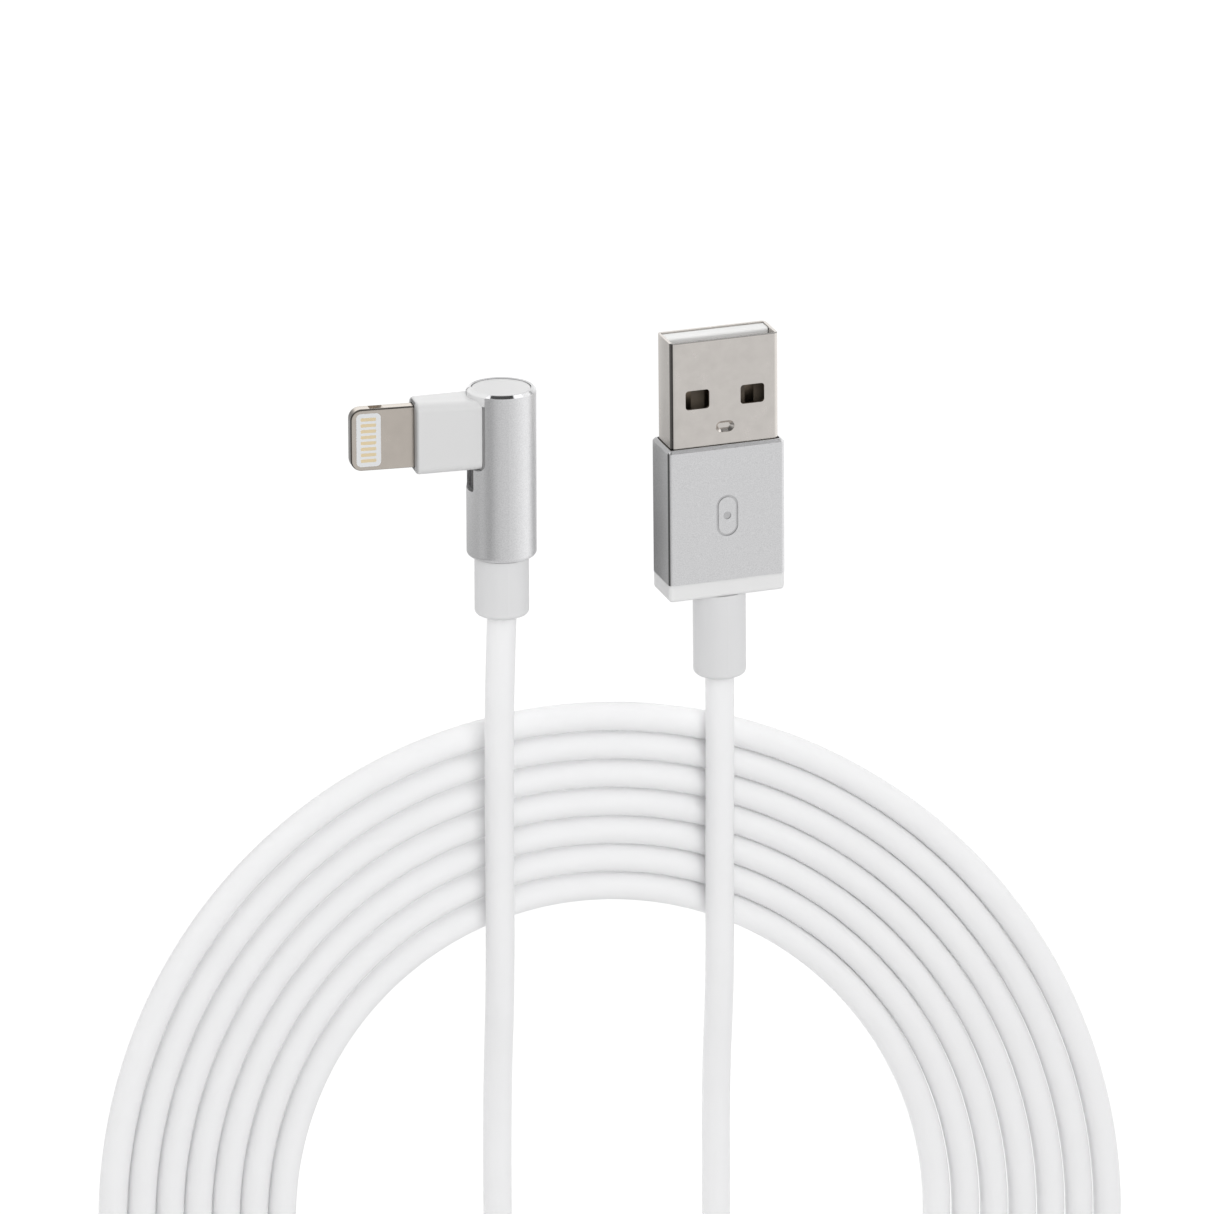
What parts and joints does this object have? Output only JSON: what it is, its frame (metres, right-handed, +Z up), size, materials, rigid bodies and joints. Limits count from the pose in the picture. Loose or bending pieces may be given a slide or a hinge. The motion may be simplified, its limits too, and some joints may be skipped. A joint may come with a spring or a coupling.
{
  "type": "charging cable",
  "caption": "White round-cable charging lead in a flat oval coil, with a straight flat computer plug and a right-angle reversible phone plug on a round metal barrel.",
  "frame": {"origin": "centre of the two plugs' footprint, on the surface that they lie on", "axes": "+Z up from the surface, +Y the way the flat plug points, +X from the phone plug to the flat plug; the phone plug's tongue points to -X and the coil lies towards -Y"},
  "size_m": [0.12, 0.1687, 0.0088],
  "materials": {
    "shell_steel": "satin nickel plating",
    "sleeve_aluminium": "bead-blasted, clear anodised",
    "barrel_aluminium": "bead-blasted with a polished chamfer, clear anodised",
    "white_moulding": "semi-gloss white moulding",
    "white_relief": "smooth matt white elastomer",
    "tongue_steel": "warm grey satin",
    "insulator": "off-white moulding",
    "carrier": "white moulding",
    "gold_contacts": "gold plating",
    "board": "green board",
    "chip": "black package",
    "capacitor": "brown ceramic",
    "solder": "bright solder",
    "screen_steel": "plain steel",
    "inner_mould": "translucent white hot-melt",
    "wire_red": "insulation",
    "wire_white": "insulation",
    "wire_green": "insulation",
    "wire_black": "insulation",
    "cord_jacket": "smooth matt white jacket"
  },
  "bodies": {
    "root": {"barrel": "barrel_aluminium", "barrel_liner": "screen_steel", "board_capacitors": "capacitor", "contact_back_1": "gold_contacts", "contact_back_2": "gold_contacts", "contact_back_3": "gold_contacts", "contact_back_4": "gold_contacts", "contact_back_5": "gold_contacts", "contact_back_6": "gold_contacts", "contact_back_7": "gold_contacts", "contact_back_8": "gold_contacts", "contact_carrier_back": "carrier", "contact_carrier_front": "carrier", "contact_front_1": "gold_contacts", "contact_front_2": "gold_contacts", "contact_front_3": "gold_contacts", "contact_front_4": "gold_contacts", "contact_front_5": "gold_contacts", "contact_front_6": "gold_contacts", "contact_front_7": "gold_contacts", "contact_front_8": "gold_contacts", "control_chip": "chip", "cord_coil": "cord_jacket", "cord_tail_phone": "cord_jacket", "cord_tail_usb": "cord_jacket", "head_moulding": "white_moulding", "phone_crimp_ring": "screen_steel", "phone_inner_mould": "inner_mould", "phone_jacket_end": "cord_jacket", "phone_solder_joints": "solder", "phone_strain_relief": "white_relief", "phone_wire_black": "wire_black", "phone_wire_green": "wire_green", "phone_wire_red": "wire_red", "phone_wire_white": "wire_white", "tongue_board": "board", "tongue_frame": "tongue_steel", "usb_base_cap": "white_moulding", "usb_contact_data_minus": "gold_contacts", "usb_contact_data_plus": "gold_contacts", "usb_contact_ground": "gold_contacts", "usb_contact_power": "gold_contacts", "usb_crimp_ring": "screen_steel", "usb_inner_mould": "inner_mould", "usb_jacket_end": "cord_jacket", "usb_screen_lower": "screen_steel", "usb_screen_upper": "screen_steel", "usb_shell": "shell_steel", "usb_sleeve": "sleeve_aluminium", "usb_solder_joints": "solder", "usb_strain_relief": "white_relief", "usb_tongue": "insulator", "usb_wire_black": "wire_black", "usb_wire_green": "wire_green", "usb_wire_red": "wire_red", "usb_wire_white": "wire_white"}
  },
  "joints": []
}
